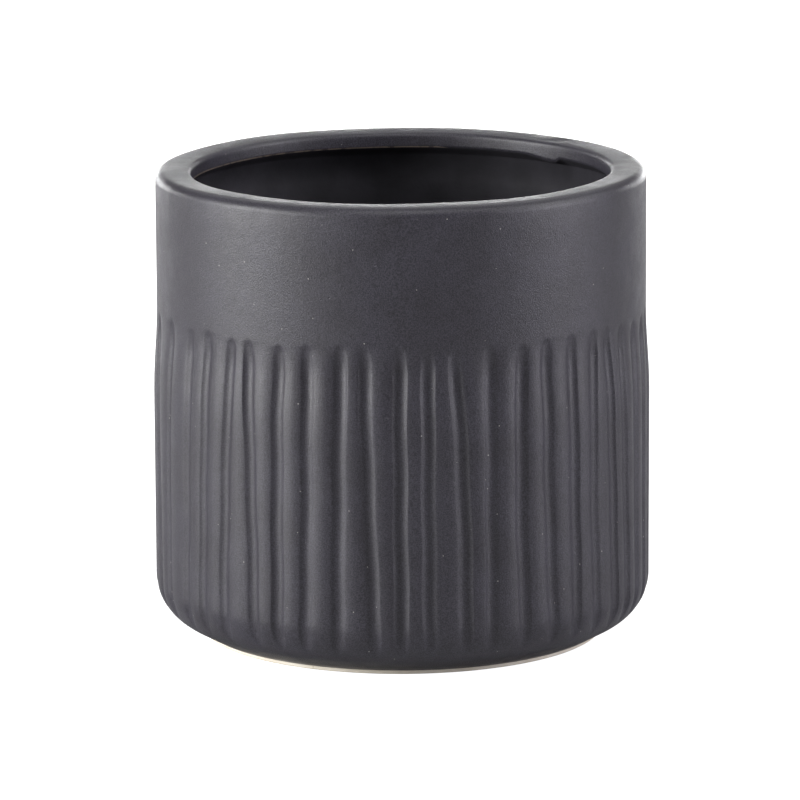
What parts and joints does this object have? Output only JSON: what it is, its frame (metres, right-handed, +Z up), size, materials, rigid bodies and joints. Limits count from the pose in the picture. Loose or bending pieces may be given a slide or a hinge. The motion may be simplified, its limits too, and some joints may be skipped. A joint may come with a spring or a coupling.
{
  "type": "candle jar",
  "caption": "Empty round ceramic candle jar with a thick rolled rim, a plain upper band, hand-cut upright grooves below it and a bare clay foot ring",
  "frame": {"origin": "middle of the plane that the foot ring stands on", "axes": "+Z up along the jar's axis through its mouth; -Y is the side that the picture shows as the front; +X is to the right seen from the front"},
  "size_m": [0.0914, 0.0914, 0.0866],
  "materials": {
    "clay": "bare fired stoneware, pale cream, fine grain",
    "matt_glaze": "matt charcoal glaze with a faint violet tint and fine mottling",
    "inner_glaze": "near-black satin glaze"
  },
  "bodies": {
    "root": {"clay_body": "clay", "outer_glaze": "matt_glaze", "inner_glaze": "inner_glaze", "base_glaze": "matt_glaze"}
  },
  "joints": []
}
